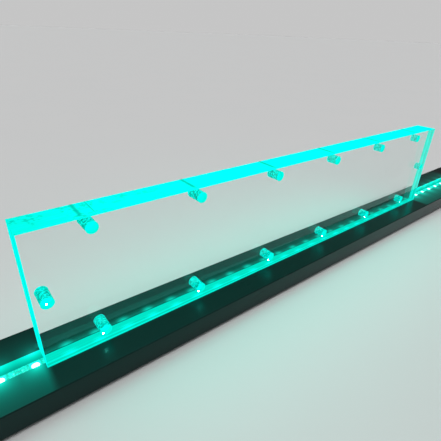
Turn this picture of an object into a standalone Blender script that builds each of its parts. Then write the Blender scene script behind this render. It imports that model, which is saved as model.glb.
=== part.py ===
"""LED strip batten: a low grooved aluminium bar with LED tape in the groove, under a clear drilled panel.

Metres, +Z up, +X along the bar, the front at -Y. The origin is under the bar's middle, on the surface it stands on.
The panel stands on the two ledges beside the groove and lifts straight off. The bar is a hollow extrusion, closed by
an end cap at each end; the right cap carries the power socket, which two short leads join to the tape.
"""

import bpy
import bmesh
from math import cos, pi, sin
from mathutils import Matrix, Vector

# Gaps between pieces
SEAT_GAP = 0.0003  # between a piece and what it rests on or passes through
GLUE_GAP = 0.0001  # between the thin layers in the groove

# Bar, an extrusion with one hollow that wraps under its groove
BAR_LENGTH = 0.700
BAR_WIDTH = 0.0515
BAR_HEIGHT = 0.0140
BAR_WALL = 0.0020
BAR_EDGE_RADIUS = 0.0006
SCREW_PORT_WIDTH = 0.0070  # solid side of the extrusion that the cap screws go into
GROOVE_HEADROOM = 0.0043  # from the LEDs' tops to the bar's top

# Tape and LEDs
LED_PITCH = 0.05 / 3  # 60 to the metre
LEDS_PER_SEGMENT = 3  # the tape is cut between segments
LED_SIDE = 0.0050
LED_HEIGHT = 0.0016
LED_WINDOW_RADIUS = 0.0021
LED_WINDOW_DEPTH = 0.0002
TAPE_WIDTH = 0.0100
TAPE_THICKNESS = 0.0003
TAPE_SIDE_CLEARANCE = 0.0005  # from the tape to each side of the groove
TAPE_START_MARGIN = 0.0122  # from the bar's left end to the tape's
TAPE_END_MARGIN = 0.0300  # the least that the bar runs past the tape's right end, for the leads
ADHESIVE_INSET = 0.0005  # how far each side of the tape stands over its adhesive
ADHESIVE_THICKNESS = 0.0002

# Panel
PANEL_LENGTH = 0.384
PANEL_HEIGHT = 0.078
PANEL_THICKNESS = 0.018
PANEL_FORWARD = 0.0010  # how far its middle stands in front of the bar's
HOLE_RADIUS = 0.0032
HOLE_COUNT = 6  # in each long row, evenly spaced, with half a space at each end
TOP_HOLE_DROP = 0.0060
BOTTOM_HOLE_RISE = 0.0080
END_HOLE_INSET = 0.0065

# End caps and their screws
CAP_LENGTH = 0.0090
CAP_WALL = 0.0035  # outer wall, in front of the pocket for the nut
CAP_EDGE_BEVEL = 0.0004
POCKET_CLEARANCE = 0.0006  # around the nut in its pocket
SCREW_RADIUS = 0.0015
SCREW_HEAD_RADIUS = 0.00275
SCREW_HEAD_HEIGHT = 0.0017
SCREW_LENGTH = 0.0160
SCREW_DRIVE_RADIUS = 0.00115
SCREW_DRIVE_DEPTH = 0.0010

# Power socket and its nut
SOCKET_RADIUS = 0.0039
SOCKET_LENGTH = 0.0140
SOCKET_BORE_RADIUS = 0.0028
SOCKET_BORE_DEPTH = 0.0090
SOCKET_PIN_RADIUS = 0.0010
SOCKET_PIN_SETBACK = 0.0010
FLANGE_LIP = 0.0013  # how far the flange stands out around the socket
FLANGE_THICKNESS = 0.0012
NUT_WALL = 0.0006  # at the middle of the nut's flats, where it is thinnest
NUT_THICKNESS = 0.0020
TAG_LENGTH = 0.0040
TAG_WIDTH = 0.0018
TAG_THICKNESS = 0.0008
TAG_SPACING = 0.0036

# Leads
LEAD_RADIUS = 0.00065
LEAD_HOLE_RADIUS = 0.0030
LEAD_HOLE_SETBACK = 0.0090  # from the tape's right end to the hole in the groove's floor
LEAD_SPREAD = 0.0010  # of each lead from that hole's middle, along X and along Y
LEAD_PAD_OVERLAP = 0.0025

# Feet
FOOT_RADIUS = 0.0060
FOOT_HEIGHT = 0.0015
FOOT_BEVEL = 0.0003
FOOT_END_MARGIN = 0.0300
FOOT_SIDE_MARGIN = 0.0110

# Levels and places that follow from the sizes above
BAR_BOTTOM = FOOT_HEIGHT + SEAT_GAP
BAR_TOP = BAR_BOTTOM + BAR_HEIGHT
LAYERS_HEIGHT = 3 * GLUE_GAP + ADHESIVE_THICKNESS + TAPE_THICKNESS + LED_HEIGHT
GROOVE_DEPTH = GROOVE_HEADROOM + LAYERS_HEIGHT
GROOVE_FLOOR = BAR_TOP - GROOVE_DEPTH
ADHESIVE_BOTTOM = GROOVE_FLOOR + GLUE_GAP
TAPE_BOTTOM = ADHESIVE_BOTTOM + ADHESIVE_THICKNESS + GLUE_GAP
TAPE_TOP = TAPE_BOTTOM + TAPE_THICKNESS
LED_BOTTOM = TAPE_TOP + GLUE_GAP
PANEL_BOTTOM = BAR_TOP + SEAT_GAP
PANEL_TOP = PANEL_BOTTOM + PANEL_HEIGHT
PANEL_MID_HEIGHT = PANEL_BOTTOM + PANEL_HEIGHT / 2
HOLE_PITCH = PANEL_LENGTH / HOLE_COUNT
TAPE_ROOM = BAR_LENGTH - TAPE_START_MARGIN - TAPE_END_MARGIN
LED_COUNT = LEDS_PER_SEGMENT * int(TAPE_ROOM / (LEDS_PER_SEGMENT * LED_PITCH))
TAPE_LENGTH = LED_COUNT * LED_PITCH
TAPE_START = TAPE_START_MARGIN - BAR_LENGTH / 2
TAPE_END = TAPE_START + TAPE_LENGTH
GROOVE_WIDTH = TAPE_WIDTH + 2 * TAPE_SIDE_CLEARANCE
ADHESIVE_WIDTH = TAPE_WIDTH - 2 * ADHESIVE_INSET
TROUGH_HALF_WIDTH = GROOVE_WIDTH / 2 + BAR_WALL
HOLLOW_HALF_WIDTH = BAR_WIDTH / 2 - SCREW_PORT_WIDTH
HOLLOW_BOTTOM = BAR_BOTTOM + BAR_WALL
TROUGH_BOTTOM = GROOVE_FLOOR - BAR_WALL
MID_HEIGHT = BAR_BOTTOM + BAR_HEIGHT / 2
SCREW_Y = BAR_WIDTH / 2 - SCREW_PORT_WIDTH / 2
SCREW_HOLE_RADIUS = SCREW_RADIUS + SEAT_GAP
SOCKET_Y = (TROUGH_HALF_WIDTH + HOLLOW_HALF_WIDTH) / 2
CAP_INNER_X = BAR_LENGTH / 2 + SEAT_GAP
CAP_OUTER_X = CAP_INNER_X + CAP_LENGTH
CAP_POCKET_X = CAP_OUTER_X - CAP_WALL
FLANGE_RADIUS = SOCKET_RADIUS + FLANGE_LIP
NUT_FLAT_RADIUS = SOCKET_RADIUS + SEAT_GAP + NUT_WALL
NUT_CORNER_RADIUS = NUT_FLAT_RADIUS / cos(pi / 6)
LEAD_HOLE_X = TAPE_END + LEAD_HOLE_SETBACK
TAG_TIP_X = CAP_OUTER_X - SOCKET_LENGTH - TAG_LENGTH

# Smoothness of round shapes
HOLE_SEGMENTS = 32
TURNED_SEGMENTS = 24
PORT_SEGMENTS = 16
LED_SEGMENTS = 12
EDGE_SEGMENTS = 3
LEAD_POINTS = 26
SHADE_ANGLE = 0.6
MERGE_DISTANCE = 1e-6
CUT_MARGIN = 0.002  # how far a cutter runs past the faces that it cuts
DRILL_MARGIN = 0.001  # the same, inside the bar, where there is less room


def clear_scene():
    for thing in list(bpy.data.objects):
        bpy.data.objects.remove(thing, do_unlink=True)


def material(name, colour, roughness, metallic=0.0, alpha=1.0):
    made = bpy.data.materials.new(name)
    made.use_nodes = True
    shader = made.node_tree.nodes["Principled BSDF"]
    shader.inputs["Base Color"].default_value = (*colour, 1.0)
    shader.inputs["Roughness"].default_value = roughness
    shader.inputs["Metallic"].default_value = metallic
    shader.inputs["Alpha"].default_value = alpha
    made.diffuse_color = (*colour, alpha)
    return made


def add_object(name, shape, finish=None, location=(0, 0, 0)):
    """Turns a bmesh into a named object with its round faces smooth."""
    mesh = bpy.data.meshes.new(name)
    bmesh.ops.remove_doubles(shape, verts=shape.verts, dist=MERGE_DISTANCE)
    bmesh.ops.recalc_face_normals(shape, faces=shape.faces)
    shape.to_mesh(mesh)
    shape.free()
    mesh.shade_smooth()
    mesh.set_sharp_from_angle(angle=SHADE_ANGLE)
    if finish:
        mesh.materials.append(finish)
    return link_mesh(name, mesh, location)


def link_mesh(name, mesh, location):
    thing = bpy.data.objects.new(name, mesh)
    thing.location = location
    bpy.context.collection.objects.link(thing)
    return thing


def circle(centre, radius, segments):
    """Points around a circle in a flat outline."""
    return [
        (centre[0] + radius * cos(2 * pi * i / segments), centre[1] + radius * sin(2 * pi * i / segments))
        for i in range(segments)
    ]


def rounded_corner(centre, radius, start, segments=EDGE_SEGMENTS):
    """Points of a quarter circle, from the angle start onwards."""
    angles = [start + pi / 2 * i / segments for i in range(segments + 1)]
    return [(centre[0] + radius * cos(a), centre[1] + radius * sin(a)) for a in angles]


def extruded(outlines, axis, start, length):
    """A solid from flat outlines, the first one outer and the others holes, extruded along an axis.

    An outline's points are (Y, Z) for the X axis, (X, Z) for the Y axis and (X, Y) for the Z axis.
    """
    shape = bmesh.new()
    index = "XYZ".index(axis)
    for outline in outlines:
        points = [(*p[:index], start, *p[index:]) for p in outline]
        ring = [shape.verts.new(p) for p in points]
        for first, second in zip(ring, ring[1:] + ring[:1]):
            shape.edges.new((first, second))
    bmesh.ops.triangle_fill(shape, edges=shape.edges[:], use_beauty=True)
    grown = bmesh.ops.extrude_face_region(shape, geom=shape.faces[:])
    offset = Vector([length if i == index else 0.0 for i in range(3)])
    moved = [part for part in grown["geom"] if isinstance(part, bmesh.types.BMVert)]
    bmesh.ops.translate(shape, verts=moved, vec=offset)
    return shape


def turned(profile, axis="Z", segments=TURNED_SEGMENTS):
    """A solid turned from a profile of (distance along the axis, radius), which starts and ends on the axis."""
    shape = bmesh.new()
    points = [shape.verts.new((radius, 0.0, along)) for along, radius in profile]
    edges = [shape.edges.new(pair) for pair in zip(points, points[1:])]
    bmesh.ops.spin(
        shape, geom=points + edges, cent=(0, 0, 0), axis=(0, 0, 1), angle=2 * pi, steps=segments, use_merge=True
    )
    bmesh.ops.remove_doubles(shape, verts=shape.verts, dist=MERGE_DISTANCE)
    if axis == "X":
        bmesh.ops.rotate(shape, verts=shape.verts, matrix=Matrix.Rotation(pi / 2, 3, "Y"))
    return shape


def block(low, high):
    """A box between two corners."""
    shape = bmesh.new()
    middle = (Vector(low) + Vector(high)) / 2
    size = Vector(high) - Vector(low)
    bmesh.ops.create_cube(shape, size=1.0, matrix=Matrix.Translation(middle) @ Matrix.Diagonal((*size, 1.0)))
    return shape


def combine(target, name, shape, operation="DIFFERENCE", location=(0, 0, 0)):
    """Cuts a shape out of an object, or joins it on, with a guide that the finished model leaves out."""
    guide = add_object(name, shape, location=location)
    guide.hide_render = True
    guide.display_type = "WIRE"
    boolean = target.modifiers.new(name, "BOOLEAN")
    boolean.object = guide
    boolean.operation = operation
    boolean.solver = "EXACT"


def end_outline():
    """Outline of the bar's and caps' ends, without the groove: a rectangle with slightly rounded corners."""
    y = BAR_WIDTH / 2 - BAR_EDGE_RADIUS
    low = BAR_BOTTOM + BAR_EDGE_RADIUS
    high = BAR_TOP - BAR_EDGE_RADIUS
    return (
        rounded_corner((y, low), BAR_EDGE_RADIUS, -pi / 2),
        rounded_corner((y, high), BAR_EDGE_RADIUS, 0.0),
        rounded_corner((-y, high), BAR_EDGE_RADIUS, pi / 2),
        rounded_corner((-y, low), BAR_EDGE_RADIUS, pi),
    )


def make_base_bar(finish):
    """The extrusion: groove along its top, a hollow that wraps under the groove, and two screw ports."""
    low_back, high_back, high_front, low_front = end_outline()
    groove = [
        (GROOVE_WIDTH / 2, BAR_TOP),
        (GROOVE_WIDTH / 2, GROOVE_FLOOR),
        (-GROOVE_WIDTH / 2, GROOVE_FLOOR),
        (-GROOVE_WIDTH / 2, BAR_TOP),
    ]
    outer = low_back + high_back + groove + high_front + low_front
    hollow_top = BAR_TOP - BAR_WALL
    hollow = [
        (-HOLLOW_HALF_WIDTH, HOLLOW_BOTTOM),
        (HOLLOW_HALF_WIDTH, HOLLOW_BOTTOM),
        (HOLLOW_HALF_WIDTH, hollow_top),
        (TROUGH_HALF_WIDTH, hollow_top),
        (TROUGH_HALF_WIDTH, TROUGH_BOTTOM),
        (-TROUGH_HALF_WIDTH, TROUGH_BOTTOM),
        (-TROUGH_HALF_WIDTH, hollow_top),
        (-HOLLOW_HALF_WIDTH, hollow_top),
    ]
    ports = [circle((side * SCREW_Y, MID_HEIGHT), SCREW_HOLE_RADIUS, PORT_SEGMENTS) for side in (-1, 1)]
    shape = extruded([outer, hollow, *ports], "X", -BAR_LENGTH / 2, BAR_LENGTH)
    bar = add_object("base_bar", shape, finish)
    outline = circle((LEAD_HOLE_X, 0.0), LEAD_HOLE_RADIUS, TURNED_SEGMENTS)
    drill = extruded([outline], "Z", TROUGH_BOTTOM - DRILL_MARGIN, BAR_WALL + 2 * DRILL_MARGIN)
    combine(bar, "lead_hole_cutter", drill)


def make_end_cap(name, side, finish, has_socket):
    """A cap with a pocket behind its outer wall and two countersunk screw holes, made on the right and mirrored."""
    outline = [point for corner in end_outline() for point in corner]
    body = extruded([outline], "X", CAP_INNER_X, CAP_LENGTH)
    body.normal_update()
    outer = [e for e in body.edges if all(v.co.x > CAP_OUTER_X - MERGE_DISTANCE for v in e.verts)]
    rim = [e for e in outer if e.calc_face_angle() > SHADE_ANGLE]
    bmesh.ops.bevel(body, geom=rim, offset=CAP_EDGE_BEVEL, segments=2, affect="EDGES", profile=0.5)
    cap = add_object(name, mirrored(body, side), finish)

    pocket_width = NUT_CORNER_RADIUS + POCKET_CLEARANCE
    pocket_height = NUT_FLAT_RADIUS + POCKET_CLEARANCE
    pocket = block(
        (CAP_INNER_X - CUT_MARGIN, SOCKET_Y - pocket_width, MID_HEIGHT - pocket_height),
        (CAP_POCKET_X, SOCKET_Y + pocket_width, MID_HEIGHT + pocket_height),
    )
    combine(cap, f"{name}_pocket_cutter", mirrored(pocket, side))
    for place, y in (("front", -SCREW_Y), ("back", SCREW_Y)):
        sink = turned(countersink_profile(), axis="X")
        combine(cap, f"{name}_{place}_screw_cutter", mirrored(moved(sink, (0, y, MID_HEIGHT)), side))
    if has_socket:
        step = CAP_OUTER_X - FLANGE_THICKNESS - SEAT_GAP
        outside = CAP_OUTER_X + CUT_MARGIN
        bore = turned(
            [
                (CAP_POCKET_X - CUT_MARGIN, 0.0),
                (CAP_POCKET_X - CUT_MARGIN, SOCKET_RADIUS + SEAT_GAP),
                (step, SOCKET_RADIUS + SEAT_GAP),
                (step, FLANGE_RADIUS + SEAT_GAP),
                (outside, FLANGE_RADIUS + SEAT_GAP),
                (outside, 0.0),
            ],
            axis="X",
        )
        combine(cap, f"{name}_socket_cutter", moved(bore, (0, SOCKET_Y, MID_HEIGHT)))


def moved(shape, offset):
    bmesh.ops.translate(shape, verts=shape.verts, vec=offset)
    return shape


def mirrored(shape, side):
    """The shape itself on the right, or its mirror image on the left."""
    if side < 0:
        bmesh.ops.scale(shape, verts=shape.verts, vec=(-1, 1, 1))
        bmesh.ops.reverse_faces(shape, faces=shape.faces[:])
    return shape


def countersink_profile():
    """Screw hole with its conical seat, clear of the screw all round."""
    inner = CAP_INNER_X - CUT_MARGIN
    seat = CAP_OUTER_X - SCREW_HEAD_HEIGHT - SEAT_GAP
    outside = CAP_OUTER_X + CUT_MARGIN
    mouth = SCREW_HEAD_RADIUS + SEAT_GAP
    return [
        (inner, 0.0),
        (inner, SCREW_HOLE_RADIUS),
        (seat, SCREW_HOLE_RADIUS),
        (CAP_OUTER_X - SEAT_GAP, mouth),
        (outside, mouth),
        (outside, 0.0),
    ]


def make_cap_screw(name, side, y, finish):
    """Countersunk screw with a hexagonal drive, its head flush with the cap."""
    tip = -SCREW_LENGTH
    neck = -SCREW_HEAD_HEIGHT
    profile = [
        (tip, 0.0),
        (tip, SCREW_RADIUS * 0.6),
        (tip + SCREW_RADIUS, SCREW_RADIUS),
        (neck, SCREW_RADIUS),
        (-SEAT_GAP, SCREW_HEAD_RADIUS),
        (0.0, SCREW_HEAD_RADIUS),
        (0.0, 0.0),
    ]
    centre = (CAP_OUTER_X - SEAT_GAP / 2, y, MID_HEIGHT)
    screw = add_object(name, mirrored(moved(turned(profile, axis="X"), centre), side), finish)
    hexagon = circle((y, MID_HEIGHT), SCREW_DRIVE_RADIUS, 6)
    drive = extruded([hexagon], "X", centre[0] - SCREW_DRIVE_DEPTH, SCREW_DRIVE_DEPTH + CUT_MARGIN)
    combine(screw, f"{name}_drive_cutter", mirrored(drive, side))


def make_groove_layer(name, width, bottom, thickness, finish):
    """A strip lying along the groove's floor, the whole length of the tape."""
    shape = block((TAPE_START, -width / 2, bottom), (TAPE_END, width / 2, bottom + thickness))
    add_object(name, shape, finish)


def make_leds(finish):
    """One square package with a shallow round window, repeated along the tape at its pitch."""
    half = LED_SIDE / 2
    angles = [2 * pi * (i + 0.5) / LED_SEGMENTS for i in range(LED_SEGMENTS)]
    shape = bmesh.new()

    def ring(radius, height):
        reach = [radius or half / max(abs(cos(a)), abs(sin(a))) for a in angles]
        return [shape.verts.new((r * cos(a), r * sin(a), height)) for r, a in zip(reach, angles)]

    rings = [
        ring(None, 0.0),
        ring(None, LED_HEIGHT),
        ring(LED_WINDOW_RADIUS, LED_HEIGHT),
        ring(LED_WINDOW_RADIUS, LED_HEIGHT - LED_WINDOW_DEPTH),
    ]
    for low, high in zip(rings, rings[1:]):
        for i in range(LED_SEGMENTS):
            j = (i + 1) % LED_SEGMENTS
            shape.faces.new((low[i], low[j], high[j], high[i]))
    shape.faces.new(rings[0][::-1])
    shape.faces.new(rings[-1])

    first = add_object("led_01", shape, finish, location=(TAPE_START + LED_PITCH / 2, 0, LED_BOTTOM))
    for number in range(2, LED_COUNT + 1):
        x = TAPE_START + LED_PITCH * (number - 0.5)
        link_mesh(f"led_{number:02d}", first.data, (x, 0, LED_BOTTOM))


def make_light_panel(finish):
    """The clear panel: a plate drilled through along its top and bottom edges and at mid height near each end."""
    half = PANEL_LENGTH / 2
    outline = [(-half, PANEL_BOTTOM), (half, PANEL_BOTTOM), (half, PANEL_TOP), (-half, PANEL_TOP)]
    row = [HOLE_PITCH * (i - (HOLE_COUNT - 1) / 2) for i in range(HOLE_COUNT)]
    centres = [(x, z) for z in (PANEL_BOTTOM + BOTTOM_HOLE_RISE, PANEL_TOP - TOP_HOLE_DROP) for x in row]
    centres += [(side * (half - END_HOLE_INSET), PANEL_MID_HEIGHT) for side in (-1, 1)]
    holes = [circle(centre, HOLE_RADIUS, HOLE_SEGMENTS) for centre in centres]
    front = -PANEL_FORWARD - PANEL_THICKNESS / 2
    add_object("light_panel", extruded([outline, *holes], "Y", front, PANEL_THICKNESS), finish)


def make_power_socket(finish, nut_finish):
    """Round inlet, turned in one piece with its middle pin, with two solder tags behind and a nut in the cap."""
    pin_tip = -SOCKET_PIN_SETBACK
    bottom = -SOCKET_BORE_DEPTH
    profile = [
        (pin_tip, 0.0),
        (pin_tip, SOCKET_PIN_RADIUS),
        (bottom, SOCKET_PIN_RADIUS),
        (bottom, SOCKET_BORE_RADIUS),
        (0.0, SOCKET_BORE_RADIUS),
        (0.0, FLANGE_RADIUS),
        (-FLANGE_THICKNESS, FLANGE_RADIUS),
        (-FLANGE_THICKNESS, SOCKET_RADIUS),
        (-SOCKET_LENGTH, SOCKET_RADIUS),
        (-SOCKET_LENGTH, 0.0),
    ]
    centre = (CAP_OUTER_X, SOCKET_Y, MID_HEIGHT)
    socket = add_object("power_socket", moved(turned(profile, axis="X"), centre), finish)
    for place, y in (("plus", SOCKET_Y - TAG_SPACING / 2), ("minus", SOCKET_Y + TAG_SPACING / 2)):
        tag = block(
            (TAG_TIP_X, y - TAG_WIDTH / 2, MID_HEIGHT - TAG_THICKNESS / 2),
            (TAG_TIP_X + TAG_LENGTH + CUT_MARGIN, y + TAG_WIDTH / 2, MID_HEIGHT + TAG_THICKNESS / 2),
        )
        combine(socket, f"{place}_tag_guide", tag, operation="UNION")

    sides = [
        (SOCKET_Y + NUT_CORNER_RADIUS * cos(pi / 3 * i), MID_HEIGHT + NUT_CORNER_RADIUS * sin(pi / 3 * i))
        for i in range(6)
    ]
    bore = circle((SOCKET_Y, MID_HEIGHT), SOCKET_RADIUS + SEAT_GAP, TURNED_SEGMENTS)
    nut_end = CAP_POCKET_X - SEAT_GAP
    add_object("socket_nut", extruded([sides, bore], "X", nut_end - NUT_THICKNESS, NUT_THICKNESS), nut_finish)


def smooth_route(points, count):
    """Evenly numbered points on the Catmull-Rom curve through a route's own points."""
    ends = [2 * points[0] - points[1], *points, 2 * points[-1] - points[-2]]
    spans = len(points) - 1
    route = []
    for i in range(count):
        place = spans * i / (count - 1)
        span = min(int(place), spans - 1)
        t = place - span
        a, b, c, d = ends[span : span + 4]
        curve = 2 * b + (c - a) * t + (2 * a - 5 * b + 4 * c - d) * t**2 + (3 * b - a - 3 * c + d) * t**3
        route.append(curve / 2)
    return route


def make_lead(name, across, tag_y, finish):
    """A lead from the tape's end, down through the groove's floor and along the hollow to its solder tag.

    across is +1 for the lead on the pad at the back and -1 for the one at the front.
    """
    pad_level = TAPE_TOP + GLUE_GAP + LEAD_RADIUS
    crawl_level = (HOLLOW_BOTTOM + TROUGH_BOTTOM) / 2
    hole_x = LEAD_HOLE_X + across * LEAD_SPREAD
    y = across * LEAD_SPREAD
    turn = 3 * LEAD_RADIUS
    points = [
        Vector((TAPE_END - LEAD_PAD_OVERLAP, y, pad_level)),
        Vector((TAPE_END + LEAD_PAD_OVERLAP, y, pad_level + LEAD_RADIUS)),
        Vector((hole_x - turn, y, pad_level)),
        Vector((hole_x, y, GROOVE_FLOOR - BAR_WALL / 2)),
        Vector((hole_x, y + turn / 2, crawl_level)),
        Vector((hole_x, TROUGH_HALF_WIDTH, crawl_level)),
        Vector((hole_x + turn, tag_y - turn / 2, (crawl_level + MID_HEIGHT) / 2)),
        Vector((hole_x + 3 * turn, tag_y, MID_HEIGHT)),
        Vector((TAG_TIP_X - SEAT_GAP, tag_y, MID_HEIGHT)),
    ]
    curve = bpy.data.curves.new(name, "CURVE")
    curve.dimensions = "3D"
    curve.bevel_depth = LEAD_RADIUS
    curve.bevel_resolution = 2
    curve.use_fill_caps = True
    curve.materials.append(finish)
    route = smooth_route(points, LEAD_POINTS)
    spline = curve.splines.new("POLY")
    spline.points.add(len(route) - 1)
    for point, place in zip(spline.points, route):
        point.co = (*place, 1.0)
    link_mesh(name, curve, (0, 0, 0))


def make_feet(finish):
    """Four round rubber pads under the bar, one mesh shared by all."""
    profile = [
        (0.0, 0.0),
        (0.0, FOOT_RADIUS - FOOT_BEVEL),
        (FOOT_BEVEL, FOOT_RADIUS),
        (FOOT_HEIGHT, FOOT_RADIUS),
        (FOOT_HEIGHT, 0.0),
    ]
    x = BAR_LENGTH / 2 - FOOT_END_MARGIN
    y = BAR_WIDTH / 2 - FOOT_SIDE_MARGIN
    first = add_object("foot_front_left", turned(profile), finish, location=(-x, -y, 0))
    for name, place in (("front_right", (x, -y, 0)), ("back_left", (-x, y, 0)), ("back_right", (x, y, 0))):
        link_mesh(f"foot_{name}", first.data, place)


def build():
    clear_scene()
    anodised = material("black_anodised", (0.012, 0.013, 0.014), 0.32, metallic=0.6)
    moulded = material("black_moulded", (0.015, 0.015, 0.016), 0.45)
    steel = material("black_steel", (0.05, 0.05, 0.052), 0.35, metallic=0.9)
    nickel = material("nickel", (0.62, 0.60, 0.56), 0.3, metallic=1.0)
    board = material("tape_board", (0.80, 0.82, 0.80), 0.55)
    adhesive = material("adhesive", (0.75, 0.70, 0.60), 0.8)
    package = material("led_package", (0.85, 1.0, 0.97), 0.4)
    acrylic = material("clear_acrylic", (0.75, 0.98, 0.94), 0.03, alpha=0.35)
    rubber = material("rubber", (0.02, 0.02, 0.02), 0.85)
    red = material("red_insulation", (0.55, 0.02, 0.015), 0.5)
    black = material("black_insulation", (0.02, 0.02, 0.02), 0.5)

    make_base_bar(anodised)
    for side_name, side in (("left", -1), ("right", 1)):
        make_end_cap(f"end_cap_{side_name}", side, moulded, has_socket=side > 0)
        for place, y in (("front", -SCREW_Y), ("back", SCREW_Y)):
            make_cap_screw(f"cap_screw_{side_name}_{place}", side, y, steel)
    make_groove_layer("tape_adhesive", ADHESIVE_WIDTH, ADHESIVE_BOTTOM, ADHESIVE_THICKNESS, adhesive)
    make_groove_layer("led_tape", TAPE_WIDTH, TAPE_BOTTOM, TAPE_THICKNESS, board)
    make_leds(package)
    make_power_socket(moulded, nickel)
    make_lead("lead_plus", 1, SOCKET_Y - TAG_SPACING / 2, red)
    make_lead("lead_minus", -1, SOCKET_Y + TAG_SPACING / 2, black)
    make_light_panel(acrylic)
    make_feet(rubber)


build()
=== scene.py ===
# %% [markdown]
# # An LED batten with an edge-lit panel
# A low black bar holds a row of LEDs in a groove, and a thick clear panel stands over them on edge. The
# light goes up into the panel and comes out only where the surface isn't polished: at its sawn edges and in
# its drilled holes.
#
# The solids of the bar, caps, screws and LEDs are already made to size. This lesson starts from them, and
# adds the surfaces and finishes that make them look real.

# %% Load the solids
from math import cos, pi, radians, sin

import bpy
import numpy as np
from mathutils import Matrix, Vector


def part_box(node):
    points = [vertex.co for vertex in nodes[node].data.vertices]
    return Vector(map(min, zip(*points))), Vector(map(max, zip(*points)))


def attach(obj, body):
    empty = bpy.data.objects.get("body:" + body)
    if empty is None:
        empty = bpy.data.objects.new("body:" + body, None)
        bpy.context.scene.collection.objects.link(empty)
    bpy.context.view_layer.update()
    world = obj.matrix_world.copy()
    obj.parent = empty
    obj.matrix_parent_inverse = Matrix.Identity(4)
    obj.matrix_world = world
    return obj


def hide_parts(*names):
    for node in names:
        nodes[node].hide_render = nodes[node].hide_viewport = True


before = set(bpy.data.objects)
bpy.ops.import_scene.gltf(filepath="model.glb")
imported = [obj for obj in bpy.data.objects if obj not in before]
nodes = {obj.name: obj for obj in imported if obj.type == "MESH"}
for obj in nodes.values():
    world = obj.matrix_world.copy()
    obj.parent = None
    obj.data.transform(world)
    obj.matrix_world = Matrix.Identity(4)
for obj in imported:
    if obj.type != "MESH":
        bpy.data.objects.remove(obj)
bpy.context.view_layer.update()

bar_low, bar_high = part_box("base_bar")
panel_low, panel_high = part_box("light_panel")
tape_low, tape_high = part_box("led_tape")
led_names = sorted(name for name in nodes if name.startswith("led_") and name != "led_tape")
led_boxes = [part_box(name) for name in led_names]
led_centres = np.array([(low + high) / 2 for low, high in led_boxes])
led_pitch = (led_centres[-1, 0] - led_centres[0, 0]) / (len(led_names) - 1)
led_top = led_boxes[0][1].z
print(f"{len(nodes)} solids, {len(led_names)} LEDs at a pitch of {led_pitch * 1000:.3f} mm")

# %% [markdown]
# ## The camera
# The camera stands close to the panel's near corner and a hand's breadth above it, looking along the batten
# with a wide lens. Its place is given from that corner, so it keeps its view of the panel if the bar
# changes.

# %% Camera
CAMERA_FROM_CORNER = Vector((-0.01583, -0.15377, 0.15574))  # metres, from the panel's front lower left corner
CAMERA_TURN = (radians(62.687), radians(-2.165), radians(-38.147))
CAMERA_LENS = 29.68  # mm, on a sensor 36 mm wide

camera_data = bpy.data.cameras.new("camera")
camera_data.lens = CAMERA_LENS
camera_data.sensor_width = 36.0
camera_data.clip_start = 0.01
camera = bpy.data.objects.new("camera", camera_data)
camera.location = panel_low + CAMERA_FROM_CORNER
camera.rotation_euler = CAMERA_TURN
bpy.context.scene.collection.objects.link(camera)
bpy.context.scene.camera = camera
print("camera at", [round(value, 3) for value in camera.location])

# %% [markdown]
# ## Shader maths as plain Python
# A finish is a small formula: stripes, specks and smudges, each a number at every point of the surface.
# Blender works such a formula out with Math nodes. Wiring them by hand hides the formula, so `Field` wraps
# a socket, and Python's own operators add the nodes: `1 - mask * 0.5` reads as it works.

# %% Fields and finishes
class Field:
    """One number at every point of a surface. Its operators add Math nodes to its finish."""

    def __init__(self, finish, socket):
        self.finish = finish
        self.socket = socket

    def _with(self, operation, *others, flip=False):
        values = (*others, self) if flip else (self, *others)
        return self.finish.maths(operation, *values)

    def __add__(self, other):
        return self._with("ADD", other)

    def __radd__(self, other):
        return self._with("ADD", other, flip=True)

    def __sub__(self, other):
        return self._with("SUBTRACT", other)

    def __rsub__(self, other):
        return self._with("SUBTRACT", other, flip=True)

    def __mul__(self, other):
        return self._with("MULTIPLY", other)

    def __lt__(self, other):
        return self._with("LESS_THAN", other)

    def __gt__(self, other):
        return self._with("GREATER_THAN", other)

    def __abs__(self):
        return self._with("ABSOLUTE")


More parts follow.
